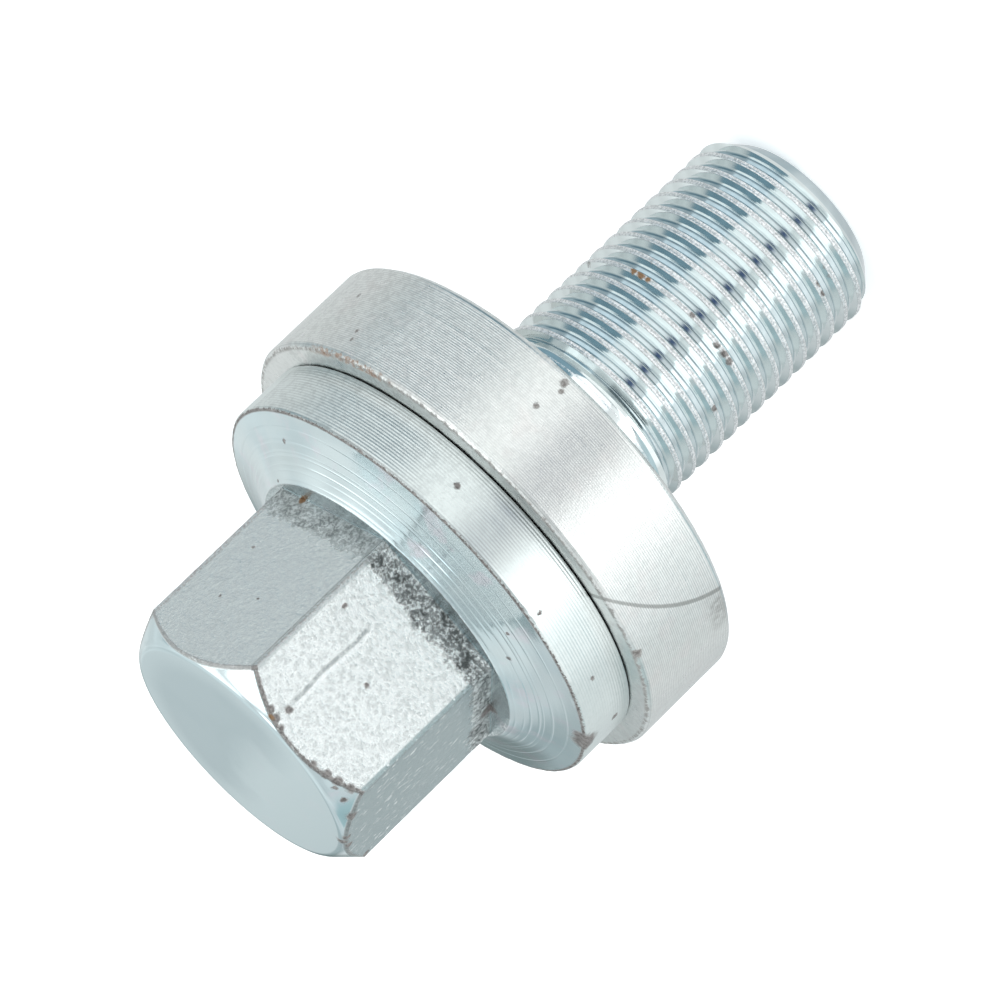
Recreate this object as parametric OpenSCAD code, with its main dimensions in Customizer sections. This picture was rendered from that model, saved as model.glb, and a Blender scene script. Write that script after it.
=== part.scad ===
// Crankshaft pulley bolt: a one-piece flanged hex bolt that carries a thick, loose-turning plain washer.
// It stands on its thread end, head up, with the bolt's axis on Z and the end face at Z = 0.

/* [Thread] */
// Crest diameter of the M14 x 1.25 thread
thread_d = 13.9; // [13.7:0.05:14]
// From the end face up to where the thread runs out into the neck
thread_l = 22.8; // [18:0.1:28]
// Diameter of the flat end face that the bolt stands on
end_d = 11.4; // [10.8:0.1:12.2]
// Height of the lead cone on the end
lead_h = 1.5; // [1:0.1:2.5]

/* [Neck] */
// Diameter of the plain neck that the washer turns on
neck_d = 13.1; // [12.9:0.05:13.2]
// Height of the run-out cone between thread and neck
runout_h = 0.5; // [0.3:0.1:1]

/* [Washer] */
// Outside diameter of the washer
washer_d = 32; // [30:0.1:36]
// Thickness of the washer
washer_h = 7.4; // [5:0.1:10]
// Diametral clearance of its bore on the neck
bore_play = 0.2; // [0.1:0.02:0.2]
// Chamfer on the washer's two outer rims
rim_chamfer = 0.4; // [0.1:0.1:0.8]
// Chamfer at both mouths of its bore
mouth_chamfer = 0.7; // [0.6:0.1:1.2]
// From the end face up to the washer's clamping face
washer_z = 23.6; // [23:0.1:30]
// Gap that shows as a dark line between washer and flange
washer_gap = 0.08; // [0.05:0.01:0.2]

/* [Flange] */
// Outside diameter of the flange
flange_d = 29; // [26:0.1:32]
// Height of its straight rim
flange_h = 3.9; // [2.5:0.1:6]
// Height of the turned, slightly hollow face from the rim up to the shoulder
rise_h = 1.7; // [0.8:0.1:3]
// Radius of the turning tool's sweep that hollows this face
sweep_r = 12; // [9:0.5:14]
// Diameter of the flat shoulder that the hexagon rises from
shoulder_d = 20; // [19.7:0.1:22]
// Edge break on the flange's rims
flange_break = 0.2; // [0.1:0.05:0.4]
// Blend between the flange's underside and the neck
root_blend = 0.4; // [0.2:0.1:0.5]

/* [Hex head] */
// Width across flats
across_flats = 17; // [16.5:0.1:17.2]
// Height of the hexagon above the shoulder
hex_h = 12.6; // [8:0.1:16]
// Width across its trimmed corners; sharp ones would measure 1.155 times the flats
across_corners = 19.5; // [18.6:0.05:19.6]
// Diameter of the flat on top, where the chamfer cone starts
top_flat_d = 16.6; // [15:0.1:16.8]
// Slope of the chamfer cone down from the top face, in degrees
chamfer_angle = 48; // [25:1:55]

/* [Hidden] */
$fn = 96;
zinc_blue = [0.70, 0.78, 0.80];
zinc_white = [0.80, 0.81, 0.80];

bore_d = neck_d + bore_play;
washer_top_z = washer_z + washer_h;
flange_z = washer_top_z + washer_gap;
rim_z = flange_z + flange_h;
shoulder_z = rim_z + rise_h;
top_z = shoulder_z + hex_h;
end_round = 0.3;
// The hollow face is an arc through the rim's edge and the shoulder's edge
face_r = flange_d / 2 - flange_break;
face_run = face_r - shoulder_d / 2;
face_chord = sqrt(face_run * face_run + rise_h * rise_h);
sweep_off = sqrt(sweep_r * sweep_r - face_chord * face_chord / 4);
sweep_x = (face_r + shoulder_d / 2) / 2 + sweep_off * rise_h / face_chord;
sweep_z = (rim_z + shoulder_z) / 2 + sweep_off * face_run / face_chord;
// How far the chamfer comes down at the corners
chamfer_drop = (across_corners - top_flat_d) / 2 * tan(chamfer_angle);

// The hexagon. One turned outline trims its upright edges round and gives it the top chamfer,
// whose cone leaves a curved edge on each flat
module hex_head() {
    intersection() {
        translate([0, 0, rim_z])
            cylinder(r = across_flats / 2 / cos(30), h = rise_h + hex_h, $fn = 6);
        rotate_extrude() polygon([
            [0, rim_z],
            [across_corners / 2, rim_z],
            [across_corners / 2, top_z - chamfer_drop],
            [top_flat_d / 2, top_z],
            [0, top_z]
        ]);
    }
}

// The flange: a straight rim with broken edges, a hollow turned face and the flat shoulder
module flange() {
    difference() {
        rotate_extrude() polygon([
            [0, flange_z],
            [flange_d / 2 - flange_break, flange_z],
            [flange_d / 2, flange_z + flange_break],
            [flange_d / 2, rim_z - flange_break],
            [face_r - rise_h, shoulder_z],
            [0, shoulder_z]
        ]);
        translate([0, 0, sweep_z])
            rotate_extrude() translate([sweep_x, 0]) circle(r = sweep_r);
    }
}

// The threaded length at its crest diameter, the run-out cone and the plain neck up into the flange
module shank() {
    rotate_extrude() polygon([
        [0, 0],
        [end_d / 2 - end_round, 0],
        [end_d / 2, end_round / 2],
        [thread_d / 2, lead_h],
        [thread_d / 2, thread_l - runout_h],
        [neck_d / 2, thread_l],
        [neck_d / 2, flange_z - root_blend],
        [neck_d / 2 + root_blend, flange_z],
        [neck_d / 2 + root_blend, flange_z + flange_h / 2],
        [0, flange_z + flange_h / 2]
    ]);
}

// One forged, turned and rolled piece
module flange_bolt() {
    color(zinc_blue) union() {
        shank();
        flange();
        hex_head();
    }
}

// The thick washer, held on the neck because the rolled thread is wider than its bore
module captive_washer() {
    color(zinc_white) rotate_extrude() polygon([
        [bore_d / 2 + mouth_chamfer, washer_z],
        [washer_d / 2 - rim_chamfer, washer_z],
        [washer_d / 2, washer_z + rim_chamfer],
        [washer_d / 2, washer_top_z - rim_chamfer],
        [washer_d / 2 - rim_chamfer, washer_top_z],
        [bore_d / 2 + mouth_chamfer, washer_top_z],
        [bore_d / 2, washer_top_z - mouth_chamfer],
        [bore_d / 2, washer_z + mouth_chamfer]
    ]);
}

flange_bolt();
captive_washer();
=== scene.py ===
# %% [markdown]
# # A crankshaft pulley bolt
# This lesson dresses the exact model of a crankshaft pulley bolt: a forged, turned and thread-rolled bolt
# that carries a thick plain washer, loose on its neck. The bolt stands on the end of its thread, head up,
# and the camera looks at it from the head's side and is rolled, so that the head shows at the lower left.

import bpy
import bmesh
import math
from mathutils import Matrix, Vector, noise


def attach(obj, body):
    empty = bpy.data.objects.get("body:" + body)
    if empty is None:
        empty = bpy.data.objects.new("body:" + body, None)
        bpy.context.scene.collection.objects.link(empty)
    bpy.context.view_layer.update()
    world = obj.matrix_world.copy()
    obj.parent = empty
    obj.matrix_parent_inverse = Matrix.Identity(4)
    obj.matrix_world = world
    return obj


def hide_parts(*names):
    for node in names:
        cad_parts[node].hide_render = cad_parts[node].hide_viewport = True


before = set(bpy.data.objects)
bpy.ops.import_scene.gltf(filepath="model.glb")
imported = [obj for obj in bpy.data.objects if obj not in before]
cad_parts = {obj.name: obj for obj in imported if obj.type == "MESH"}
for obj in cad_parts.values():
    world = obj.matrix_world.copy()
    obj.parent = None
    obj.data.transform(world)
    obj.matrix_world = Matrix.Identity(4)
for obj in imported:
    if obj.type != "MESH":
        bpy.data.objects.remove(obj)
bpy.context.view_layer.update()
MM = 0.001

# %% [markdown]
# ## Sizes
# A maker's drawing gives every size once. These are the sizes of the exact model, in millimetres, and the
# finer ones that only the dressed pieces have: the thread's shape and the feeds of the turning marks.

# %% Sizes of the bolt and its washer
thread_pitch = 1.25
crest_r = 6.92
root_r = 6.3
crest_flat = 0.33
flank_slope = math.tan(math.radians(63))
thread_stop_z = 19.7
neck_r = 6.55
neck_z = 22.8
flange_z = 31.08
rim_z = 34.98
flange_r = 14.5
shoulder_z = 36.68
shoulder_r = 10.0
sweep_r = 12.0
top_z = 49.28
flats_r = 8.5
corners_r = 9.75
top_flat_r = 8.3
chamfer_slope = math.tan(math.radians(48))
washer_low_z = 23.6
washer_high_z = 31.0
washer_r = 16.0
bore_r = 6.65
mouth_break = 0.7
flange_feed = 0.19
washer_feed = 0.148
edge_break = 0.2
print("overall height in mm:", top_z, " washer thickness:", round(washer_high_z - washer_low_z, 2))

# %% [markdown]
# ## Camera
# The photograph was taken with a long lens, from the head's side, 19 degrees above the plane that cuts
# across the bolt, and rolled so that the bolt lies along the picture's diagonal. The place and the turn
# come from fitting the circles of the flange, the washer and the thread to the picture.

# %% The camera stands where the photographer stood
eye = Vector((-82.15, 368.54, 156.23)) * MM
eye_turn = (math.radians(-63.7184), math.radians(42.8686), math.radians(31.1274))
camera_data = bpy.data.cameras.new("photo_camera")
camera_data.sensor_width = 36.0
camera_data.lens = 239.55
camera_data.clip_start = 0.01
camera = bpy.data.objects.new("photo_camera", camera_data)
camera.location = eye
camera.rotation_euler = eye_turn
bpy.context.scene.collection.objects.link(camera)
bpy.context.scene.camera = camera
print("camera at", [round(v, 4) for v in eye], "m")

# %% [markdown]
# ## Modelling by outline
# Most of this part came off a lathe, so most of it is drawn as one half outline and spun round the axis.
# The outline is drawn as by hand: one point, extruded from place to place. A spun outline gives true
# circles, even turning marks and clean poles, which is why it is preferred here to stacking cylinders.

# %% Helpers that draw and spin an outline
def nothing_selected():
    if bpy.context.object and bpy.context.object.mode != "OBJECT":
        bpy.ops.object.mode_set(mode="OBJECT")
    bpy.ops.object.select_all(action="DESELECT")


def pick(piece):
    nothing_selected()
    bpy.context.view_layer.objects.active = piece
    piece.select_set(True)


def draw_outline(name, points):
    """One point, extruded from place to place in the X-Z plane; points are (radius, height) in mm."""
    nothing_selected()
    bpy.ops.mesh.primitive_plane_add(size=MM, location=(0, 0, 0))
    piece = bpy.context.object
    piece.name = name
    bpy.ops.object.mode_set(mode="EDIT")
    bpy.ops.mesh.select_all(action="SELECT")
    bpy.ops.mesh.merge(type="CENTER")
    radius, height = points[0]
    bpy.ops.transform.translate(value=(radius * MM, 0, height * MM))
    for (r0, z0), (r1, z1) in zip(points[:-1], points[1:]):
        step = ((r1 - r0) * MM, 0, (z1 - z0) * MM)
        bpy.ops.mesh.extrude_region_move(TRANSFORM_OT_translate={"value": step})
    return piece


def spin_outline(piece, steps=288):
    """The outline goes once round the axis, and what meets on the axis or the seam is merged."""
    bpy.ops.mesh.select_all(action="SELECT")
    bpy.ops.mesh.spin(steps=steps, angle=math.tau, center=(0, 0, 0), axis=(0, 0, 1))
    bpy.ops.mesh.select_all(action="SELECT")
    bpy.ops.mesh.remove_doubles(threshold=0.0008 * MM)
    bpy.ops.mesh.normals_make_consistent(inside=False)
    bpy.ops.object.mode_set(mode="OBJECT")
    return piece


def cut_with(piece, tool, operation):
    """A Boolean modifier, applied at once; the tool is used up."""
    pick(piece)
    step = piece.modifiers.new(operation.lower(), "BOOLEAN")
    step.operation = operation
    step.solver = "EXACT"
    step.object = tool
    bpy.ops.object.modifier_apply(modifier=step.name)
    bpy.data.objects.remove(tool, do_unlink=True)
    return piece


def roughen_band(piece, name, size, strength, inside):
    """Clouds push a band of the surface in and out; inside(radius, height) in mm says where the band is."""
    pick(piece)
    band = piece.vertex_groups.new(name=name)
    chosen = []
    for point in piece.data.vertices:
        if inside(math.hypot(point.co.x, point.co.y) / MM, point.co.z / MM):
            chosen.append(point.index)
    band.add(chosen, 1.0, "REPLACE")
    clouds = bpy.data.textures.new(name, "CLOUDS")
    clouds.noise_scale = size * MM
    clouds.noise_depth = 3
    push = piece.modifiers.new(name, "DISPLACE")
    push.texture = clouds
    push.texture_coords = "LOCAL"
    push.vertex_group = name
    push.mid_level = 0.62
    push.strength = strength * MM
    bpy.ops.object.modifier_apply(modifier=push.name)


def shade_turned(piece, wall_r):
    """Smooth shading, but the rings of the turned wall stay sharp so that every mark catches light."""
    pick(piece)
    bpy.ops.object.shade_smooth_by_angle(angle=math.radians(26))
    bpy.ops.object.mode_set(mode="EDIT")
    bpy.ops.mesh.select_mode(type="EDGE")
    bpy.ops.mesh.select_all(action="DESELECT")
    grid = bmesh.from_edit_mesh(piece.data)
    for edge in grid.edges:
        first, second = (v.co for v in edge.verts)
        nearest = min(math.hypot(first.x, first.y), math.hypot(second.x, second.y))
        on_wall = nearest > (wall_r - 0.03) * MM
        edge.select_set(on_wall and abs(first.z - second.z) < 0.001 * MM)
    bmesh.update_edit_mesh(piece.data)
    bpy.ops.mesh.mark_sharp()
    bpy.ops.mesh.select_mode(type="VERT")
    bpy.ops.object.mode_set(mode="OBJECT")


def open_edges(piece):
    check = bmesh.new()
    check.from_mesh(piece.data)
    count = sum(1 for edge in check.edges if len(edge.link_faces) != 2)
    check.free()
    return count


def measured(piece):
    triangles = sum(len(face.vertices) - 2 for face in piece.data.polygons)
    print(piece.name, "triangles:", triangles, "open edges:", open_edges(piece))


print("helpers ready")

# %% [markdown]
# ## Turning marks
# A lathe tool leaves a fine screw-like groove, one feed apart. The marks are real geometry here, a few
# thousandths of a millimetre deep: they are what spreads the light into bands along the part.

# %% Helpers that put turning marks on an outline
# Each ring on the hollow face is a radius and a height
tool_rings = (
    (10.3, 0.006),
    (10.75, 0.006),
    (11.12, 0.015),
    (11.62, 0.017),
    (11.85, 0.015),
    (12.4, 0.018),
    (13.3, 0.016),
)
ring_width = 0.04


def marked_wall(radius, low, high, pitch, depth):
    """Points down a turned wall, from high to low, with a shallow groove every pitch."""
    count = int(round((high - low) / (pitch / 2)))
    points = []
    for k in range(count + 1):
        height = high + (low - high) * k / count
        groove = depth * (0.8 + 0.7 * noise.noise(Vector((radius, height * 3.7, 7.0))))
        inner = k % 2 == 1 and k < count
        points.append((radius - (groove if inner else 0), height))
    return points


def hollow_face():
    """Points out along the flange's hollow face, with the rings that its turning tool left."""
    run = flange_r - edge_break - shoulder_r
    rise = shoulder_z - rim_z
    chord = math.hypot(run, rise)
    off = math.sqrt(sweep_r ** 2 - chord ** 2 / 4)
    centre_r = shoulder_r + run / 2 + off * rise / chord
    centre_z = (rim_z + shoulder_z) / 2 + off * run / chord
    stations = [shoulder_r + run * k / 40 for k in range(41)]
    for middle, tall in tool_rings:
        stations += [middle + step * ring_width for step in (-2, -1, -0.5, 0, 0.5, 1, 2)]
    points = []
    for radius in sorted(stations):
        height = centre_z - math.sqrt(sweep_r ** 2 - (radius - centre_r) ** 2)
        if shoulder_r < radius < shoulder_r + run:
            height += 0.004 * noise.noise(Vector((radius * 4.1, 2.0, 0.0)))
            height += 0.003 * noise.noise(Vector((radius * 9.0, 5.0, 0.0)))
            for middle, tall in tool_rings:
                height += tall * math.exp(-((radius - middle) / ring_width) ** 2)
        points.append((radius, height))
    return points


print("hollow face points:", len(hollow_face()))

# %% [markdown]
# ## Flange
# The flange is forged with the bolt and then turned: a straight rim with broken edges, and a hollow face
# that rises to a narrow flat shoulder round the hexagon.

# %% Flange
flange_outline = [(0, shoulder_z), (8.0, shoulder_z), (9.6, shoulder_z - 0.02)]
flange_outline += hollow_face()
flange_outline += [(flange_r - 0.08, rim_z - 0.05), (flange_r, rim_z - 0.18)]
flange_outline += marked_wall(flange_r, flange_z + 0.15, rim_z - 0.3, flange_feed, 0.010)
flange_outline += [(flange_r - 0.02, flange_z + 0.05), (flange_r - 0.08, flange_z), (0, flange_z)]
bolt = spin_outline(draw_outline("bolt_of_one_piece", flange_outline))
roughen_band(bolt, "rim_nicks", 0.5, 0.05, lambda r, z: r > 14.15 and z > 34.72)
measured(bolt)

# %% [markdown]
# ## Hexagon
# A six-sided bar is cut into a fine grid, so that its flats can carry the dents of the forging die, the
# pits at the foot and the scored line. The dents could be a picture of heights, but then they would not show
# at the outline. A turned tool then takes the 48 degree chamfer off the end, which leaves the curved edge on
# every flat.

# %% The six-sided bar
nothing_selected()
bar_low = shoulder_z - 0.6
bar_high = top_z + 0.6
bpy.ops.mesh.primitive_cylinder_add(
    vertices=6,
    radius=flats_r / math.cos(math.radians(30)) * MM,
    depth=(bar_high - bar_low) * MM,
    location=(0, 0, (bar_low + bar_high) / 2 * MM),
    rotation=(0, 0, math.radians(30)),
)
hexagon = bpy.context.object
hexagon.name = "hexagon_bar"
bpy.ops.object.transform_apply(location=True, rotation=True, scale=True)
print("six-sided bar, points:", len(hexagon.data.vertices))

# %% The flats get a fine grid, level by level and then across
bpy.ops.object.mode_set(mode="EDIT")
levels = 60
for k in range(1, levels):
    height = bar_low + 0.65 + (bar_high - bar_low - 0.7) * k / levels
    bpy.ops.mesh.select_all(action="SELECT")
    bpy.ops.mesh.bisect(plane_co=(0, 0, height * MM), plane_no=(0, 0, 1), threshold=0.0002 * MM)
bpy.ops.mesh.select_all(action="DESELECT")
grid = bmesh.from_edit_mesh(hexagon.data)
for edge in grid.edges:
    level = abs(edge.verts[0].co.z - edge.verts[1].co.z) < 0.001 * MM
    edge.select_set(level and edge.calc_length() > 5 * MM)
bmesh.update_edit_mesh(hexagon.data)
bpy.ops.mesh.subdivide(number_cuts=46)
bpy.ops.object.mode_set(mode="OBJECT")
print("flats in a grid, points:", len(hexagon.data.vertices))

# %% Dents of the forging die and the pitted foot
def on_flats(r, z):
    return r > flats_r - 0.05 and bar_low + 0.1 < z < bar_high - 0.1


roughen_band(hexagon, "die_dents", 0.8, 0.035, on_flats)
roughen_band(hexagon, "die_grain", 0.3, 0.03, on_flats)
roughen_band(hexagon, "foot_pits", 0.45, 0.12, lambda r, z: on_flats(r, z) and z < 38.1)
roughen_band(hexagon, "foot_pits_edge", 0.5, 0.07, lambda r, z: on_flats(r, z) and 38.1 <= z < 38.7)
print("flats dented and pitted")

# %% The scored line down the front flat, a shallow groove that bends a little
score_aside = 1.8
score_bend = 0.06
score_wave = 1.3
score_low = 40.8
score_high = 48.4
score_half = 0.33
score_depth = 0.06
scored = 0
for vertex in hexagon.data.vertices:
    height = vertex.co.z / MM
    across = vertex.co.x / MM + score_aside + score_bend * math.sin(height * score_wave)
    in_run = score_low < height < score_high
    if vertex.co.y / MM > flats_r - 0.3 and abs(across) < score_half and in_run:
        fade = min(1.0, (height - score_low) / 1.5) * (0.75 + 0.25 * math.sin(height * 2.3))
        vertex.co.y -= score_depth * fade * math.cos(across / score_half * math.pi / 2) ** 2 * MM
        scored += 1
print("points in the scored line:", scored)

# %% The chamfer tool turns the end of the hexagon
chamfer_blend = 0.35
chamfer_outline = [(0, bar_low - 1), (corners_r + 1.2, bar_low - 1)]
chamfer_outline += [(corners_r + 1.2, top_z - (corners_r + 1.2 - top_flat_r) * chamfer_slope)]
for k in range(5):
    along = k / 4
    radius = top_flat_r + chamfer_blend * (1 - along) ** 2 - 0.75 * chamfer_blend * along ** 2
    height = top_z - chamfer_blend * chamfer_slope * (1 - along) ** 2
    chamfer_outline.append((radius, height))
chamfer_outline += [(top_flat_r - 0.34, top_z + 0.001), (4.0, top_z), (0, top_z)]
chamfer_tool = spin_outline(draw_outline("chamfer_tool", chamfer_outline), steps=240)
hexagon = cut_with(hexagon, chamfer_tool, "INTERSECT")
measured(hexagon)

# %% The hexagon is joined to the flange
bolt = cut_with(bolt, hexagon, "UNION")
measured(bolt)

# %% [markdown]
# ## Thread
# The thread is rolled, not cut: two dies press the root in, and the steel rises into crests that close
# with a faint seam. One pitch of its shape is drawn and the Screw modifier winds it round the axis. Its lower
# end is faced flat and coned by a turned blank, and a second turned core fills the root little by little at
# the top, which is how a real thread runs out.

# %% One pitch of the rolled thread, wound right-handed
half_crest = crest_flat / 2
thread_phase = 0.62
flank_r = crest_r - 0.035
half_shape = [
    (crest_r - 0.03, 0.0),
    (crest_r - 0.005, 0.05),
    (crest_r, half_crest - 0.05),
    (flank_r, half_crest),
    (flank_r - 0.03, half_crest + 0.03 / flank_slope),
    (root_r + 0.18, half_crest + (flank_r - root_r - 0.18) / flank_slope),
    (root_r + 0.15, half_crest + (flank_r - root_r - 0.15) / flank_slope),
    (root_r + 0.12, half_crest + (flank_r - root_r - 0.12) / flank_slope + 0.014),
    (root_r + 0.03, half_crest + (flank_r - root_r - 0.03) / flank_slope + 0.014),
    (root_r, half_crest + (flank_r - root_r) / flank_slope + 0.05),
]
shape = half_shape + [(radius, thread_pitch - height) for radius, height in reversed(half_shape)]
start_z = thread_phase - 4 * thread_pitch
shank = draw_outline("rolled_thread", [(r, z + start_z) for r, z in shape])
bpy.ops.object.mode_set(mode="OBJECT")
winding = shank.modifiers.new("winding", "SCREW")
winding.axis = "Z"
winding.angle = math.tau
winding.screw_offset = thread_pitch * MM
winding.steps = 120
winding.render_steps = 120
winding.iterations = 22
winding.use_merge_vertices = True
winding.merge_threshold = 0.0008 * MM
bpy.ops.object.modifier_apply(modifier=winding.name)
bpy.ops.object.mode_set(mode="EDIT")
bpy.ops.mesh.select_all(action="SELECT")
bpy.ops.mesh.remove_doubles(threshold=0.0008 * MM)
bpy.ops.mesh.normals_make_consistent(inside=False)
for height, keeps_above in ((-1.0, True), (21.5, False)):
    bpy.ops.mesh.select_all(action="SELECT")
    bpy.ops.mesh.bisect(
        plane_co=(0, 0, height * MM),
        plane_no=(0, 0, 1),
        threshold=0.0002 * MM,
        use_fill=True,
        clear_inner=keeps_above,
        clear_outer=not keeps_above,
    )
bpy.ops.mesh.select_all(action="SELECT")
bpy.ops.mesh.normals_make_consistent(inside=False)
bpy.ops.object.mode_set(mode="OBJECT")
measured(shank)

# %% The blank trims the thread's two ends
blank_outline = [
    (0, 0),
    (5.35, 0),
    (5.55, 0.05),
    (5.7, 0.18),
    (6.97, 1.52),
    (6.97, thread_stop_z - 1.2),
    (6.6, thread_stop_z + 1.0),
    (0, thread_stop_z + 1.0),
]
blank = spin_outline(draw_outline("blank", blank_outline), steps=240)
shank = cut_with(shank, blank, "INTERSECT")
measured(shank)

# %% The core fills the run-out and goes on as the neck
core_outline = [
    (0, 2.0),
    (5.9, 2.0),
    (5.9, thread_stop_z - 1.4),
    (6.45, thread_stop_z - 0.5),
    (6.78, thread_stop_z),
    (6.87, thread_stop_z + 0.35),
    (6.87, neck_z - 0.5),
    (neck_r, neck_z),
    (neck_r, flange_z - 0.4),
    (neck_r + 0.15, flange_z - 0.15),
    (neck_r + 0.4, flange_z),
    (neck_r + 0.4, flange_z + 1.5),
    (0, flange_z + 1.5),
]
core = spin_outline(draw_outline("core", core_outline), steps=180)
shank = cut_with(shank, core, "UNION")
measured(shank)

# %% The shank is joined to the flange, and the whole bolt is shaded by its edges
bolt = cut_with(bolt, shank, "UNION")
shade_turned(bolt, flange_r)
measured(bolt)

# %% [markdown]
# ## Washer
# The washer is turned from bar: a fine, even feed mark on its side, small chamfers on its rims, a bore
# just wider than the neck. It turns freely on the bolt, so it rides on its own body.

# %% Washer
washer_outline = [(bore_r + mouth_break, washer_high_z), (washer_r - 0.45, washer_high_z)]
washer_outline += [(washer_r - 0.2, washer_high_z - 0.05), (washer_r - 0.05, washer_high_z - 0.2)]
washer_outline += marked_wall(washer_r, washer_low_z + 0.5, washer_high_z - 0.3, washer_feed, 0.009)
washer_outline += [(washer_r - 0.06, washer_low_z + 0.34), (washer_r - 0.4, washer_low_z + 0.03)]
washer_outline += [(washer_r - 0.5, washer_low_z), (bore_r + mouth_break, washer_low_z)]
washer_outline += [(bore_r, washer_low_z + mouth_break), (bore_r, washer_high_z - mouth_break)]
washer_outline += [(bore_r + mouth_break, washer_high_z)]
washer = spin_outline(draw_outline("turned_washer", washer_outline))
roughen_band(washer, "rim_nicks", 0.6, 0.05, lambda r, z: r > 15.5 and z > 30.75)
roughen_band(washer, "low_rim_nicks", 0.5, 0.03, lambda r, z: r > 15.4 and z < 23.9)
shade_turned(washer, washer_r)
measured(washer)

# %% Each piece rides on its body and stands for its node
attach(bolt, "bolt")
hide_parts("flange_bolt")
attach(washer, "washer")
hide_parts("captive_washer")
print("pieces:", bolt.name, washer.name)

# %% [markdown]
# ## Zinc plating
# The whole part is zinc plated, and a thin film of chromate over the zinc gives it its colour: blue-white
# on the bolt, a warmer white on the washer, faintly lilac where the film is thicker. It could be painted on,
# but the film follows the steel's own places, so it is mixed from the part's coordinates in millimetres.

# %% A small set of helpers for shader nodes
def add_node(tree, kind, **values):
    made = tree.nodes.new(kind)
    for key, value in values.items():
        setattr(made, key, value)
    return made


def feed(tree, source, target):
    tree.links.new(source, target)


def calculate(tree, operation, first, second=None, third=None):
    made = add_node(tree, "ShaderNodeMath", operation=operation)
    for socket, value in zip(made.inputs, (first, second, third)):
        if value is None:
            continue
        if isinstance(value, (int, float)):
            socket.default_value = value
        else:
            feed(tree, value, socket)
    return made.outputs[0]


def product(tree, first, second):
    return calculate(tree, "MULTIPLY", first, second)


def larger(tree, first, second):
    return calculate(tree, "MAXIMUM", first, second)


def scaled_sum(tree, first, factor, added):
    """first times factor, plus added."""
    return calculate(tree, "MULTIPLY_ADD", first, factor, added)


def ramp(tree, source, low, high, to_low=0.0, to_high=1.0):
    made = add_node(tree, "ShaderNodeMapRange", interpolation_type="SMOOTHSTEP")
    feed(tree, source, made.inputs["Value"])
    made.inputs["From Min"].default_value = low
    made.inputs["From Max"].default_value = high
    made.inputs["To Min"].default_value = to_low
    made.inputs["To Max"].default_value = to_high
    return made.outputs["Result"]


def blend_colour(tree, factor, first, second):
    made = add_node(tree, "ShaderNodeMix", data_type="RGBA")
    feed(tree, factor, made.inputs["Factor"])
    for socket, value in ((made.inputs["A"], first), (made.inputs["B"], second)):
        if isinstance(value, tuple):
            socket.default_value = (*value, 1.0)
        else:
            feed(tree, value, socket)
    return made.outputs["Result"]


def cloud(tree, place, scale, detail=3.0, roughness=0.55):
    made = add_node(tree, "ShaderNodeTexNoise")
    feed(tree, place, made.inputs["Vector"])
    made.inputs["Scale"].default_value = scale
    made.inputs["Detail"].default_value = detail
    made.inputs["Roughness"].default_value = roughness
    return made.outputs["Fac"]


print("shader helpers ready")

# %% Where a point is on the part, in millimetres and degrees
class Place:
    """Radius, height, azimuth and a ragged copy of the place, for masks with worn outlines."""

    def __init__(self, tree):
        scaled = add_node(tree, "ShaderNodeVectorMath", operation="SCALE")
        feed(tree, add_node(tree, "ShaderNodeTexCoord").outputs["Object"], scaled.inputs[0])
        scaled.inputs["Scale"].default_value = 1 / MM
        self.tree = tree
        self.here = scaled.outputs[0]
        parts = add_node(tree, "ShaderNodeSeparateXYZ")
        feed(tree, self.here, parts.inputs[0])
        self.x, self.y, self.z = (parts.outputs[name] for name in ("X", "Y", "Z"))
        flat = add_node(tree, "ShaderNodeCombineXYZ")
        feed(tree, self.x, flat.inputs["X"])
        feed(tree, self.y, flat.inputs["Y"])
        length = add_node(tree, "ShaderNodeVectorMath", operation="LENGTH")
        feed(tree, flat.outputs[0], length.inputs[0])
        self.r = length.outputs["Value"]
        self.azimuth = calculate(tree, "DEGREES", calculate(tree, "ARCTAN2", self.y, self.x))
        wobble = add_node(tree, "ShaderNodeTexNoise")
        feed(tree, self.here, wobble.inputs["Vector"])
        wobble.inputs["Scale"].default_value = 2.2
        wobble.inputs["Detail"].default_value = 4.0
        wobble.inputs["Roughness"].default_value = 0.65
        wobble_size = 0.54
        shift = add_node(tree, "ShaderNodeVectorMath", operation="MULTIPLY_ADD")
        feed(tree, wobble.outputs["Color"], shift.inputs[0])
        shift.inputs[1].default_value = [wobble_size] * 3
        shift.inputs[2].default_value = [-wobble_size / 2] * 3
        moved = add_node(tree, "ShaderNodeVectorMath", operation="ADD")
        feed(tree, self.here, moved.inputs[0])
        feed(tree, shift.outputs[0], moved.inputs[1])
        self.ragged = moved.outputs[0]

    def spots(self, places):
        """A mask of worn spots; each is azimuth in degrees, radius, height and size in mm."""
        mask = None
        for azimuth, radius, height, size in places:
            turn = math.radians(azimuth)
            gap = add_node(self.tree, "ShaderNodeVectorMath", operation="DISTANCE")
            feed(self.tree, self.ragged, gap.inputs[0])
            gap.inputs[1].default_value = (radius * math.cos(turn), radius * math.sin(turn), height)
            spot = ramp(self.tree, gap.outputs["Value"], size * 0.55, size * 1.1, 1.0, 0.0)
            mask = spot if mask is None else larger(self.tree, mask, spot)
        return mask

    def between(self, value, low, high, soft):
        """1 between low and high, fading over soft at both."""
        rise = ramp(self.tree, value, low - soft / 2, low + soft / 2)
        fall = ramp(self.tree, value, high - soft / 2, high + soft / 2, 1.0, 0.0)
        return product(self.tree, rise, fall)

    def stretch(self, low, high, soft):
        """1 between two azimuths in degrees."""
        return self.between(self.azimuth, low, high, soft)


def on_flat(azimuth, aside, height):
    """A place on a flat of the hexagon, given as azimuth, radius and height."""
    return azimuth + math.degrees(math.atan2(aside, flats_r)), math.hypot(aside, flats_r), height


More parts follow.
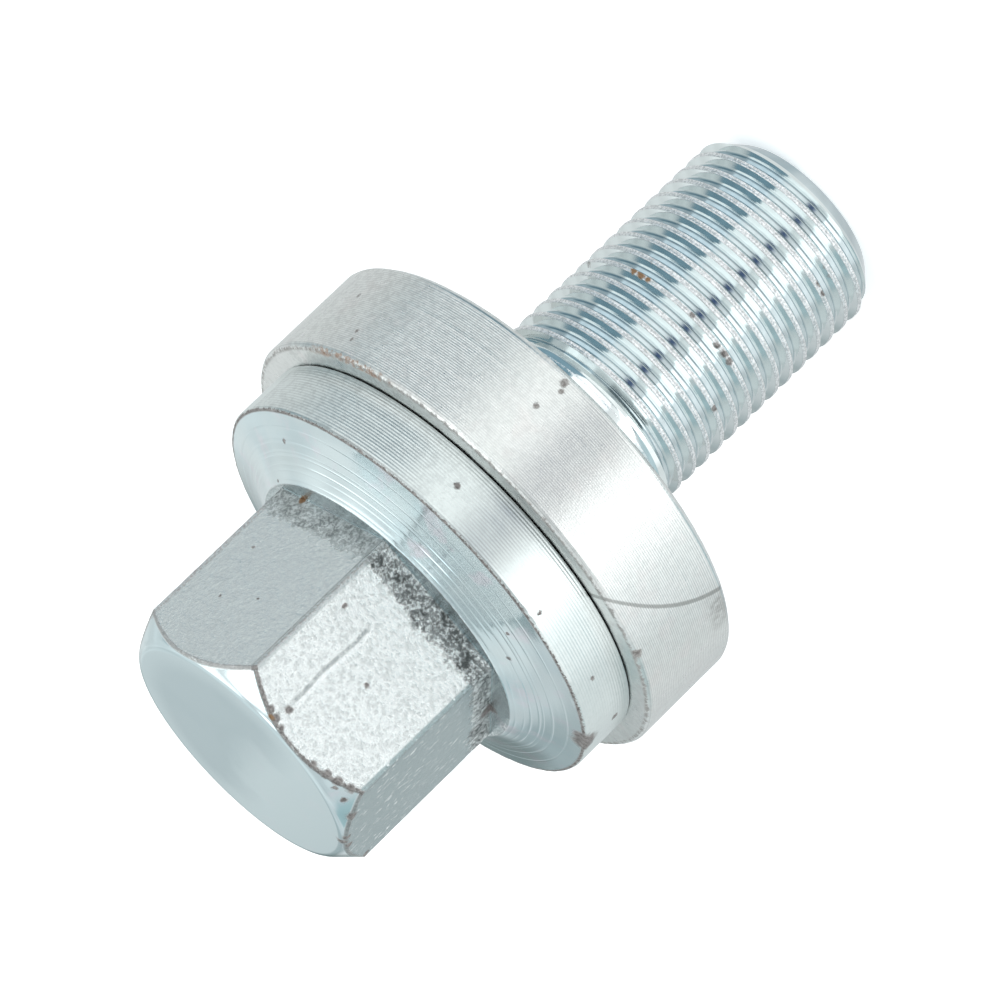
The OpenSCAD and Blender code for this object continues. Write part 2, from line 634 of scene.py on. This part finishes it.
print("place helper ready")

# %% [markdown]
# ## Wear and painted light
# Where plating is thin or knocked off, the steel shows grey-brown and rusts: along the sharp arcs that the
# chamfer leaves on the flats, on the rims, in the pitted foot of the hexagon, and in small spots. Each kind
# of wear is a mask between 0 and 1; the masks then change colour, gloss and metal together. Other masks
# paint light and shade into the colour: lit and shaded flats, glints, shade in the roots, grooves and
# turning marks, and darker sides of the rim and the end face.

# %% Colours of the bolt: plating, painted shade in its hollows, painted light and shade of the flats, painted highlights, bare steel and rust
zinc_blue = (0.645, 0.755, 0.785)
zinc_pale = (0.70, 0.785, 0.80)
zinc_lilac = (0.74, 0.755, 0.80)
thread_zinc = (0.735, 0.785, 0.79)
thread_root_shade = (0.34, 0.44, 0.49)
# Lit and shaded copies of the zinc for the flats: painted light and shade
lit_flat_zinc = (0.85, 0.87, 0.865)
shaded_right_flat_zinc = (0.375, 0.45, 0.46)
half_shaded_left_flat_zinc = (0.60, 0.635, 0.635)
fleck_painted_highlight = (0.95, 0.97, 0.97)
rim_zinc = (0.73, 0.78, 0.775)
shaded_rim_zinc = (0.58, 0.63, 0.625)
rim_feed_shade = (0.40, 0.42, 0.42)
crest_dark = (0.56, 0.57, 0.58)
crest_light = (0.94, 0.93, 0.94)
bolt_mottle_shade = (0.42, 0.445, 0.445)
foot_dark = (0.04, 0.05, 0.05)
foot_light = (0.85, 0.88, 0.88)
# Painted shade for the scored groove and a painted highlight for its raised edge
groove_shade = (0.36, 0.38, 0.385)
ridge_painted_highlight = (0.97, 0.98, 0.98)
end_zinc = (0.70, 0.82, 0.85)
shaded_end_zinc = (0.49, 0.60, 0.635)
corner_steel = (0.42, 0.39, 0.385)
bare_dark = (0.16, 0.145, 0.14)
bare_light = (0.37, 0.345, 0.335)
fresh_rust = (0.33, 0.20, 0.11)
print("colours of the bolt named")

# %% A new finish starts with its node tree and the place helper
def new_finish(name):
    finish = bpy.data.materials.new(name)
    finish.use_nodes = True
    return finish, finish.node_tree, finish.node_tree.nodes["Principled BSDF"], Place(finish.node_tree)


def add_relief(tree, shader, relief):
    """A fine relief, a few hundredths of a millimetre high, that only turns the light."""
    bump = add_node(tree, "ShaderNodeBump")
    feed(tree, relief, bump.inputs["Height"])
    bump.inputs["Strength"].default_value = 1.0
    bump.inputs["Distance"].default_value = 0.03 * MM
    feed(tree, bump.outputs["Normal"], shader.inputs["Normal"])


print("finish helpers ready")

# %% The plating of the bolt
bolt_zinc, tree, shader, place = new_finish("blue_white_zinc")
grain = cloud(tree, place.here, 6.0, 3.0, 0.62)
patches = ramp(tree, cloud(tree, place.here, 0.17), 0.38, 0.62)
lilac = ramp(tree, cloud(tree, place.here, 0.42), 0.54, 0.7)
colour = blend_colour(tree, patches, zinc_blue, zinc_pale)
colour = blend_colour(tree, lilac, colour, zinc_lilac)
print("base colour of the bolt ready")

# %% Masks of the bolt: flats, foot, chamfer arcs, rims, crests
tallest = None
for k in range(3):
    turn = math.radians(30 + 60 * k)
    reach = add_node(tree, "ShaderNodeVectorMath", operation="DOT_PRODUCT")
    feed(tree, place.here, reach.inputs[0])
    reach.inputs[1].default_value = (math.cos(turn), math.sin(turn), 0)
    reach = calculate(tree, "ABSOLUTE", reach.outputs["Value"])
    tallest = reach if tallest is None else larger(tree, tallest, reach)
flat_side = ramp(tree, tallest, flats_r - 0.22, flats_r - 0.1)
head_only = ramp(tree, place.z, shoulder_z - 0.05, shoulder_z + 0.1)
flats = product(tree, flat_side, head_only)
cone_gap = scaled_sum(tree, place.r, chamfer_slope, place.z)
cone_gap = calculate(tree, "SUBTRACT", top_z + top_flat_r * chamfer_slope, cone_gap)
near_cone = ramp(tree, scaled_sum(tree, grain, 0.34, cone_gap), 0.19, 0.29, 1.0, 0.0)
arcs = product(tree, near_cone, ramp(tree, tallest, flats_r - 0.2, flats_r - 0.12))
arcs = product(tree, arcs, ramp(tree, place.y, flats_r - 0.3, flats_r - 0.2, 0.6, 0.95))
foot_edge = scaled_sum(tree, cloud(tree, place.here, 1.6, 4.0, 0.7), 2.2, place.z)
foot = product(tree, ramp(tree, foot_edge, 39.35, 39.75, 1.0, 0.0), flats)
rim_height = scaled_sum(tree, grain, 0.35, place.z)
flange_rim = ramp(tree, rim_height, rim_z + 0.06, rim_z + 0.14)
flange_rim = product(tree, flange_rim, ramp(tree, place.r, flange_r - 0.32, flange_r - 0.2))
flange_rim = product(tree, flange_rim, ramp(tree, place.z, rim_z + 0.02, rim_z + 0.06, 1.0, 0.0))
on_thread = ramp(tree, place.z, 20, 20.2, 1.0, 0.0)
crest = product(tree, ramp(tree, place.r, crest_r - 0.07, crest_r - 0.04), on_thread)
brown_spots = place.spots(
    (
        (*on_flat(90, -4.3, 48.15), 0.42),
        (*on_flat(90, -3.4, 48.4), 0.40),
        (*on_flat(90, -2.6, 48.65), 0.36),
        (*on_flat(90, -1.6, 48.85), 0.30),
        (*on_flat(90, 1.2, 48.85), 0.26),
        (*on_flat(90, 1.9, 48.75), 0.34),
        (*on_flat(90, 2.5, 48.6), 0.30),
        (*on_flat(90, 1.7, 47.85), 0.32),
        (*on_flat(30, -4.6, 47.5), 0.35),
        (*on_flat(30, -1.0, 37.0), 0.7),
        (57, 6.9, 14.5, 0.34),
        (72, 6.9, 12.2, 0.30),
        (77, 6.9, 12.2, 0.34),
        (83, 6.9, 12.3, 0.32),
        (103, 6.9, 12.2, 0.28),
        (62, 6.9, 4.4, 0.32),
        (68, 6.9, 4.4, 0.28),
        (88, 6.9, 18.0, 0.2),
        (165, 6.9, 18.1, 0.3),
        (169, 6.9, 17.9, 0.26),
        (178, 6.9, 12.9, 0.34),
        (30, 14.45, 34.95, 1.1),
        (33, 14.2, 35.0, 0.7),
        (52, 14.5, 33.4, 0.24),
        (77, 14.5, 34.2, 0.18),
        (112, 14.5, 32.9, 0.26),
        (30, 14.5, 32.4, 0.3),
    )
)
rust_spots = place.spots(
    (
        (132, 6.9, 12.3, 0.26),
        (137, 6.9, 12.3, 0.34),
        (142, 6.9, 12.3, 0.28),
        (*on_flat(90, 2.1, 48.95), 0.26),
        (*on_flat(150, 2.8, 36.8), 0.3),
    )
)
small_pits = place.spots(
    (
        (*on_flat(90, -0.5, 43.3), 0.17),
        (*on_flat(90, 3.8, 41.2), 0.18),
        (*on_flat(150, 1.7, 44.8), 0.16),
        (*on_flat(150, 2.8, 41.0), 0.16),
        (*on_flat(150, -0.8, 43.8), 0.13),
        (64, 11.1, 36.0, 0.2),
        (73.5, 12.0, 35.6, 0.16),
        (127, 11.7, 35.7, 0.14),
        (169, 12.4, 35.4, 0.22),
        (181, 10.2, 36.5, 0.2),
    )
)
end_specks = place.spots(
    (
        (48.6, 9.07, 48.6, 0.5),
        (29.0, 8.2, 49.1, 0.42),
        (33.5, 8.4, 49.0, 0.34),
        (24.8, 8.6, 48.9, 0.36),
        (71.3, 9.4, 48.3, 0.25),
        (66.0, 8.9, 48.7, 0.22),
        (59.0, 9.0, 48.6, 0.26),
        (51.0, 9.3, 48.3, 0.24),
    )
)
print("masks of the bolt ready, nodes:", len(tree.nodes))

# %% Colour of the bolt: thread with painted shade in its roots, flats with painted light and shade, painted glints, and the flange's rim with painted shade on one side and along its turning marks
def one_flat(tree, place, flats, azimuth):
    """The mask of the one flat of the hexagon that faces this azimuth, 30 or 150 degrees."""
    toward = scaled_sum(tree, place.y, 0.5, product(tree, place.x, math.cos(math.radians(azimuth))))
    return product(tree, ramp(tree, toward, flats_r - 0.3, flats_r - 0.15), flats)


threaded = ramp(tree, place.z, 20.5, 24.0, 1.0, 0.0)
colour = blend_colour(tree, threaded, colour, thread_zinc)
# Painted shade in the thread's roots, much stronger from about 120 degrees round
root = product(tree, ramp(tree, place.r, root_r + 0.06, root_r + 0.16, 1.0, 0.0), threaded)
root = product(tree, root, ramp(tree, place.azimuth, 116, 126, 0.45, 0.95))
colour = blend_colour(tree, root, colour, thread_root_shade)
# Painted light and shade: the flats get a lit, pale zinc, the flat at 30 degrees a shaded dark copy and the
# flat at 150 degrees a half-shaded copy
colour = blend_colour(tree, flats, colour, lit_flat_zinc)
right_flat = one_flat(tree, place, flats, 30)
left_flat = one_flat(tree, place, flats, 150)
colour = blend_colour(tree, right_flat, colour, shaded_right_flat_zinc)
colour = blend_colour(tree, left_flat, colour, half_shaded_left_flat_zinc)
# Painted highlights: pale glints on the flat at 150 degrees and drawn-out pale streaks on the flat at 30
# degrees
drawn_out = add_node(tree, "ShaderNodeVectorMath", operation="MULTIPLY")
feed(tree, place.here, drawn_out.inputs[0])
drawn_out.inputs[1].default_value = (1.0, 1.0, 0.45)
painted_glint_streaks = ramp(tree, cloud(tree, drawn_out.outputs[0], 3.2, 3.0, 0.7), 0.57, 0.66)
painted_glint_streaks = product(tree, painted_glint_streaks, ramp(tree, patches, 0.0, 1.0, 0.35, 0.8))
painted_glint_flecks = product(tree, ramp(tree, grain, 0.64, 0.72), ramp(tree, patches, 0.2, 0.9))
painted_glint_flecks = product(tree, painted_glint_flecks, product(tree, left_flat, 0.55))
painted_glint_flecks = larger(tree, painted_glint_flecks, product(tree, painted_glint_streaks, right_flat))
colour = blend_colour(tree, painted_glint_flecks, colour, fleck_painted_highlight)
turned_side = product(tree, ramp(tree, place.r, 14.2, 14.4), ramp(tree, place.z, 31.0, 31.1))
# Painted shade: the flange's turned side is darker between about 128 and 148 degrees round
rim_painted_shade_stretch = product(tree, place.stretch(128, 148, 14.0), turned_side)
colour = blend_colour(tree, turned_side, colour, rim_zinc)
colour = blend_colour(tree, product(tree, rim_painted_shade_stretch, 0.7), colour, shaded_rim_zinc)
# Painted shade along the flange's turning marks, stronger at some azimuths and none below about 70 degrees
feed_line_painted_shade = calculate(tree, "SINE", product(tree, place.z, math.tau / flange_feed))
feed_shade_gain = larger(tree, place.stretch(92, 105, 8.0), place.stretch(119, 141, 14.0))
feed_shade_gain = scaled_sum(tree, feed_shade_gain, 0.2, 0.2)
feed_line_painted_shade = product(tree, scaled_sum(tree, feed_line_painted_shade, feed_shade_gain, feed_shade_gain), turned_side)
feed_line_painted_shade = product(tree, feed_line_painted_shade, ramp(tree, place.azimuth, 70, 96))
colour = blend_colour(tree, feed_line_painted_shade, colour, rim_feed_shade)
speckle = ramp(tree, cloud(tree, place.here, 5.5, 3.0, 0.75), 0.42, 0.58)
crest_colour = blend_colour(tree, speckle, crest_dark, crest_light)
colour = blend_colour(tree, product(tree, crest, 0.85), colour, crest_colour)
print("thread, flats and rim coloured, nodes:", len(tree.nodes))

# %% Colour of the bolt: painted shade in the dents of the hammered front flat and mottled on the rim, pitted foot, and scored line with painted shade and a painted highlight
hammered = cloud(tree, place.here, 3.6, 4.0, 0.66)
# Painted shade in the hammered dents of the front flat, and a mottled painted shade on the flange's side that
# grows from 90 to 130 degrees round
front_flat = ramp(tree, place.y, flats_r - 0.3, flats_r - 0.2, 0.25, 1.0)
mottled_painted_shade = product(tree, ramp(tree, hammered, 0.46, 0.62, 0.0, 0.34), product(tree, flats, front_flat))
rim_mottled_painted_shade = ramp(tree, cloud(tree, place.here, 2.3, 5.0, 0.7), 0.44, 0.62, 0.0, 0.4)
rim_mottled_painted_shade = product(tree, rim_mottled_painted_shade, turned_side)
rim_mottled_painted_shade = product(tree, rim_mottled_painted_shade, ramp(tree, place.azimuth, 90, 130, 0.25, 1.0))
mottled_painted_shade = larger(tree, mottled_painted_shade, rim_mottled_painted_shade)
colour = blend_colour(tree, mottled_painted_shade, colour, bolt_mottle_shade)
foot_speck = ramp(tree, cloud(tree, place.here, 4.4, 4.0, 0.75), 0.44, 0.56)
foot_patch = ramp(tree, cloud(tree, place.here, 0.9, 3.0), 0.36, 0.60)
foot_tone = scaled_sum(tree, foot_patch, 0.4, product(tree, foot_speck, 0.6))
foot_colour = blend_colour(tree, foot_tone, foot_dark, foot_light)
foot_weight = ramp(tree, left_flat, 0.2, 0.8, 0.95, 0.6)
bend = calculate(tree, "SINE", product(tree, place.z, score_wave))
bent_x = scaled_sum(tree, bend, score_bend, place.x)
front_only = ramp(tree, place.y, flats_r - 0.3, flats_r - 0.2)
score_run = product(tree, place.between(place.z, 40.9, 47.4, 0.8), front_only)
score_run = product(tree, score_run, ramp(tree, hammered, 0.34, 0.56, 0.4, 1.0))
score_run = product(tree, score_run, 0.8)
# Painted shade in the scored groove and a painted highlight along its raised edge
groove = product(tree, place.between(bent_x, -2.02, -1.78, 0.16), score_run)
score_ridge_highlight = product(tree, place.between(bent_x, -1.72, -1.5, 0.16), score_run)
colour = blend_colour(tree, groove, colour, groove_shade)
colour = blend_colour(tree, score_ridge_highlight, colour, ridge_painted_highlight)
colour = blend_colour(tree, product(tree, foot, foot_weight), colour, foot_colour)
print("flats worn, nodes:", len(tree.nodes))

# %% Colour of the bolt: end face with painted shade towards one side, bare steel and rust
end_face = ramp(tree, place.z, top_z - 0.12, top_z - 0.04)
colour = blend_colour(tree, product(tree, end_face, 0.8), colour, end_zinc)
# Painted shade: the end face darkens towards one side, and less towards its rim
end_painted_shade_side = scaled_sum(tree, place.y, 0.25, place.x)
end_painted_shade_side = scaled_sum(tree, patches, 1.2, end_painted_shade_side)
end_painted_shade_side = ramp(tree, end_painted_shade_side, -0.5, 3.8, 1.0, 0.0)
end_painted_shade_side = product(tree, end_painted_shade_side, ramp(tree, place.r, 6.0, 8.2, 1.0, 0.45))
colour = blend_colour(tree, product(tree, end_face, end_painted_shade_side), colour, shaded_end_zinc)
bare = larger(tree, brown_spots, larger(tree, arcs, flange_rim))
bare = larger(tree, bare, larger(tree, end_specks, small_pits))
left_edge = calculate(tree, "ABSOLUTE", calculate(tree, "SUBTRACT", place.azimuth, 120.2))
left_edge = ramp(tree, left_edge, 0.35, 1.0, 1.0, 0.0)
back_edge = ramp(tree, calculate(tree, "ABSOLUTE", place.azimuth), 177.5, 178.6)
edge_wear = product(tree, larger(tree, left_edge, back_edge), ramp(tree, place.z, 38.0, 38.6))
edge_wear = product(tree, edge_wear, ramp(tree, place.r, 9.4, 9.55))
edge_wear = product(tree, edge_wear, ramp(tree, grain, 0.42, 0.6, 0.1, 0.75))
colour = blend_colour(tree, edge_wear, colour, corner_steel)
bare_tone = ramp(tree, cloud(tree, place.here, 4.5, 4.0, 0.7), 0.35, 0.65)
bare_steel = blend_colour(tree, bare_tone, bare_dark, bare_light)
colour = blend_colour(tree, bare, colour, bare_steel)
colour = blend_colour(tree, rust_spots, colour, fresh_rust)
feed(tree, colour, shader.inputs["Base Color"])
print("bolt coloured, nodes:", len(tree.nodes))

# %% Metal, gloss and fine relief of the bolt
worn = larger(tree, bare, rust_spots)
feed(tree, ramp(tree, worn, 0.0, 1.0, 1.0, 0.5), shader.inputs["Metallic"])
gloss = ramp(tree, patches, 0.0, 1.0, 0.11, 0.16)
gloss = scaled_sum(tree, threaded, -0.06, gloss)
gloss = scaled_sum(tree, turned_side, 0.17, gloss)
dull_flats = product(tree, flats, ramp(tree, front_flat, 0.25, 1.0, 0.10, 0.0))
gloss = scaled_sum(tree, dull_flats, 1.0, gloss)
gloss = scaled_sum(tree, crest, 0.24, gloss)
gloss = scaled_sum(tree, foot, 0.12, gloss)
gloss = scaled_sum(tree, worn, 0.35, gloss)
feed(tree, gloss, shader.inputs["Roughness"])
depth = product(tree, scaled_sum(tree, foot, 0.8, flats), hammered)
relief = product(tree, grain, 0.05)
relief = scaled_sum(tree, product(tree, depth, front_flat), 6.5, relief)
relief = scaled_sum(tree, product(tree, foot, foot_speck), 1.6, relief)
relief = scaled_sum(tree, product(tree, crest, speckle), 0.3, relief)
add_relief(tree, shader, relief)
print("bolt plated, nodes:", len(tree.nodes))

# %% Colours of the washer, with the painted shade of its turning marks and mottled side
warm_zinc = (0.785, 0.805, 0.79)
warm_pale = (0.81, 0.82, 0.81)
warm_tint = (0.80, 0.79, 0.78)
side_feed_shade = (0.45, 0.455, 0.45)
washer_mottle_shade = (0.46, 0.465, 0.46)
scratch_shade = (0.27, 0.27, 0.26)
patch_shade = (0.27, 0.26, 0.25)
washer_bare_dark = (0.20, 0.18, 0.17)
washer_bare_light = (0.44, 0.42, 0.405)
old_rust_dark = (0.30, 0.16, 0.09)
old_rust_light = (0.44, 0.33, 0.27)
print("colours of the washer named")

# %% Masks of the washer: one long scratch, worn rims, rust along the upper one
washer_zinc, tree, shader, place = new_finish("warm_white_zinc")
grain = cloud(tree, place.here, 6.0, 5.0, 0.62)
patches = ramp(tree, cloud(tree, place.here, 0.2), 0.4, 0.62)
warm = ramp(tree, cloud(tree, place.here, 0.5), 0.52, 0.7)
above = calculate(tree, "SUBTRACT", place.z, 27.3)
path = scaled_sum(tree, above, 0.27, 2.9)
path = scaled_sum(tree, path, above, 57.0)
aside = calculate(tree, "ABSOLUTE", calculate(tree, "SUBTRACT", place.azimuth, path))
aside = scaled_sum(tree, grain, 0.5, aside)
scratch = ramp(tree, aside, 0.55, 1.15, 1.0, 0.0)
low_patch = product(tree, place.stretch(40, 50, 7.0), place.between(place.z, 23.8, 25.2, 1.1))
low_patch = product(tree, low_patch, ramp(tree, cloud(tree, place.here, 2.0, 4.0, 0.7), 0.25, 0.7))
rim_line = scaled_sum(tree, cloud(tree, place.here, 2.6, 5.0, 0.7), 0.6, place.z)
top_rim = product(tree, ramp(tree, rim_line, 31.18, 31.3), ramp(tree, place.r, 15.5, 15.7))
rust_reach = place.stretch(140, 166, 10.0)
rust = product(tree, ramp(tree, rim_line, 31.04, 31.16), rust_reach)
rust = product(tree, rust, ramp(tree, place.r, 15.3, 15.6))
rust = product(tree, rust, ramp(tree, cloud(tree, place.here, 1.7, 5.0, 0.72), 0.44, 0.54))
spots = place.spots(
    (
        (111.5, 16.0, 26.5, 0.24),
        (111.0, 16.0, 24.3, 0.34),
        (110.2, 16.0, 24.8, 0.22),
        (54.0, 16.0, 30.85, 0.42),
        (157.0, 16.0, 29.0, 0.2),
        (156.0, 16.0, 29.6, 0.16),
        (168.0, 16.0, 26.4, 0.2),
    )
)
bare = larger(tree, spots, product(tree, top_rim, 0.75))
print("masks of the washer ready, nodes:", len(tree.nodes))

# %% Colour, gloss and metal of the washer, with painted shade along its turning marks and a mottled painted shade
colour = blend_colour(tree, patches, warm_zinc, warm_pale)
colour = blend_colour(tree, warm, colour, warm_tint)
# Painted shade along the washer's turning marks, stronger at some azimuths
feed_line_painted_shade = calculate(tree, "SINE", product(tree, place.z, math.tau / washer_feed))
side = ramp(tree, place.r, 15.85, 15.95)
feed_shade_gain = larger(tree, place.stretch(92, 105, 8.0), place.stretch(121, 143, 14.0))
feed_shade_gain = scaled_sum(tree, feed_shade_gain, 0.22, 0.24)
feed_line_painted_shade = product(tree, scaled_sum(tree, feed_line_painted_shade, feed_shade_gain, feed_shade_gain), side)
colour = blend_colour(tree, feed_line_painted_shade, colour, side_feed_shade)
# Mottled painted shade on the washer's side, stronger from 100 to 145 degrees round
mottled_painted_shade = ramp(tree, cloud(tree, place.here, 2.6, 5.0, 0.7), 0.42, 0.60, 0.0, 0.42)
mottled_painted_shade = product(tree, mottled_painted_shade, ramp(tree, place.azimuth, 100, 145, 0.45, 1.0))
colour = blend_colour(tree, mottled_painted_shade, colour, washer_mottle_shade)
colour = blend_colour(tree, product(tree, scratch, 0.72), colour, scratch_shade)
colour = blend_colour(tree, product(tree, low_patch, 0.7), colour, patch_shade)
bare_tone = ramp(tree, cloud(tree, place.here, 4.5, 4.0, 0.7), 0.35, 0.65)
bare_steel = blend_colour(tree, bare_tone, washer_bare_dark, washer_bare_light)
rust_colour = blend_colour(tree, bare_tone, old_rust_dark, old_rust_light)
colour = blend_colour(tree, bare, colour, bare_steel)
colour = blend_colour(tree, product(tree, rust, 0.8), colour, rust_colour)
feed(tree, colour, shader.inputs["Base Color"])
worn = larger(tree, bare, rust)
feed(tree, ramp(tree, worn, 0.0, 1.0, 1.0, 0.35), shader.inputs["Metallic"])
gloss = ramp(tree, cloud(tree, place.here, 1.1, 4.0), 0.3, 0.7, 0.27, 0.35)
gloss = scaled_sum(tree, worn, 0.35, gloss)
feed(tree, gloss, shader.inputs["Roughness"])
add_relief(tree, shader, product(tree, grain, 0.55))
print("washer plated, nodes:", len(tree.nodes))

# %% Each piece gets its plating
for piece, plating in ((bolt, bolt_zinc), (washer, washer_zinc)):
    piece.data.materials.clear()
    piece.data.materials.append(plating)
    for face in piece.data.polygons:
        face.material_index = 0
print("plated:", bolt.name, washer.name)

# %% [markdown]
# ## Light tent
# Plated steel shows what stands round it. Such parts are photographed in a light tent: pale cloth all round,
# lamps outside it, and a slit for the lens. Lamps and cards could be placed one by one, but the cloth has no
# edges of its own, so the tent is written into the world: each panel is a soft-edged window of directions.

# %% One soft-edged window of directions
def tent_window(tree, compass, elevation, middle, half_width, low, high, soft=8.0):
    """1 inside the window and 0 outside; all angles are in degrees, the middle is an azimuth."""
    off = calculate(tree, "WRAP", calculate(tree, "SUBTRACT", compass, middle), 180.0, -180.0)
    off = calculate(tree, "ABSOLUTE", off)
    across = ramp(tree, off, half_width - soft / 2, half_width + soft / 2, 1.0, 0.0)
    above = ramp(tree, elevation, low - soft / 2, low + soft / 2)
    below = ramp(tree, elevation, high - soft / 2, high + soft / 2, 1.0, 0.0)
    return product(tree, across, product(tree, above, below))


print("tent window helper ready")

# %% The tent: pale cloth, bright panels and the dark slit
tent = bpy.data.worlds.new("light_tent")
bpy.context.scene.world = tent
tent.use_nodes = True
tree = tent.node_tree
direction = add_node(tree, "ShaderNodeTexCoord").outputs["Generated"]
parts = add_node(tree, "ShaderNodeSeparateXYZ")
feed(tree, direction, parts.inputs[0])
elevation = calculate(tree, "DEGREES", calculate(tree, "ARCSINE", parts.outputs["Z"]))
compass = calculate(tree, "DEGREES", calculate(tree, "ARCTAN2", parts.outputs["Y"], parts.outputs["X"]))
cloth = add_node(tree, "ShaderNodeRGB")
cloth.outputs[0].default_value = (0.72, 0.76, 0.77, 1.0)
light = cloth.outputs[0]
# Each panel is a name, a colour, its middle azimuth, half its width, its low and high bound and its softness
panels = (
    ("light below", (0.98, 1.02, 1.02), 0, 180, -95, -66, 10),
    ("dark ring low", (0.30, 0.36, 0.38), 100, 110, -62, -54, 4),
    ("grey left back", (0.80, 0.84, 0.84), 236, 31, -70, 30, 12),
    ("pale behind", (0.80, 0.84, 0.84), 262, 26, 4, 36, 10),
    ("pale behind high", (0.90, 0.94, 0.94), 258, 24, 34, 76, 10),
    ("pale left back", (1.66, 1.72, 1.72), 214, 22, 37, 74, 6),
    ("dark left back", (0.24, 0.36, 0.41), 216, 22, 12, 30, 6),
    ("dim back right", (0.45, 0.51, 0.52), 295, 10, 6, 30, 8),
    ("dark back right", (0.23, 0.28, 0.28), 287, 9, -12, 9, 8),
    ("low back right", (0.70, 0.74, 0.75), 316, 22, -60, -8, 10),
    ("high back right", (0.86, 0.90, 0.90), 308, 27, 44, 70, 10),
    ("right", (0.83, 0.87, 0.87), -11, 24, -34, 31, 10),
    ("teal right", (0.44, 0.58, 0.60), 342, 17, 16, 42, 6),
    ("light right", (1.24, 1.28, 1.28), 31, 20, -34, 50, 16),
    ("low right", (0.58, 0.73, 0.77), 4, 32, -66, -27, 6),
    ("high right", (0.80, 0.85, 0.86), 72, 43, 46, 80, 8),
    ("white right", (2.0, 2.05, 2.05), 61, 15, -95, 8, 5),
    ("light gap", (1.05, 1.08, 1.08), 83, 7, -60, 8, 3),
    ("light left", (1.24, 1.28, 1.27), 119, 30, -30, 8, 8),
    ("light low left", (1.52, 1.56, 1.56), 120, 28, -60, -28, 6),
    ("grey left", (1.46, 1.50, 1.50), 167, 25, -25, -6, 5),
    ("dark band left", (0.40, 0.48, 0.51), 172, 33, -5, 9, 5),
    ("dark low left", (0.24, 0.38, 0.46), 182, 36, -66, -25, 4),
    ("dark strip", (0.22, 0.26, 0.27), 77, 30, 9, 30, 6),
    ("white strip", (1.5, 1.55, 1.55), 151, 20, 9, 28, 6),
    ("dark slit", (0.10, 0.15, 0.27), 97, 6, -30, -7, 9),
    ("white high left", (2.0, 2.05, 2.05), 150, 30, 46, 76, 6),
    ("white top", (2.1, 2.15, 2.15), 0, 180, 84, 95, 3),
)
for title, colour, middle, half_width, low, high, soft in panels:
    inside = tent_window(tree, compass, elevation, middle, half_width, low, high, soft)
    light = blend_colour(tree, inside, light, colour)
folds = ramp(tree, cloud(tree, direction, 5.0, 3.0), 0.3, 0.7, 0.9, 1.1)
shaded = add_node(tree, "ShaderNodeVectorMath", operation="SCALE")
feed(tree, light, shaded.inputs[0])
feed(tree, folds, shaded.inputs["Scale"])
background = tree.nodes["Background"]
feed(tree, shaded.outputs[0], background.inputs["Color"])
background.inputs["Strength"].default_value = 1.0
tent.cycles.sampling_method = "NONE"
bpy.context.scene.view_settings.view_transform = "Standard"
print("panels of the tent:", len(panels))

# %% [markdown]
# ## Floor
# The part stands on a white sheet that is lit through and curves up all round, so that every view has a
# plain pale ground. The sheet is left out of the reflections: there the steel shows the cloth of the tent.

# %% Floor
sheet_outline = [(0, 0), (1600, 0), (1900, 60), (2150, 250), (2250, 600), (2100, 1500), (0, 2200)]
floor = spin_outline(draw_outline("pale_floor", sheet_outline), steps=48)
floor_paint = bpy.data.materials.new("pale_floor_sheet")
floor_paint.use_nodes = True
floor_shader = floor_paint.node_tree.nodes["Principled BSDF"]
floor_shader.inputs["Base Color"].default_value = (0.85, 0.86, 0.86, 1.0)
floor_shader.inputs["Roughness"].default_value = 1.0
floor_shader.inputs["Specular IOR Level"].default_value = 0.0
floor_shader.inputs["Emission Color"].default_value = (1.0, 1.0, 1.0, 1.0)
floor_shader.inputs["Emission Strength"].default_value = 0.5
floor.data.materials.append(floor_paint)
floor.visible_glossy = False
floor.visible_diffuse = False
floor.visible_shadow = False
print("floor laid")
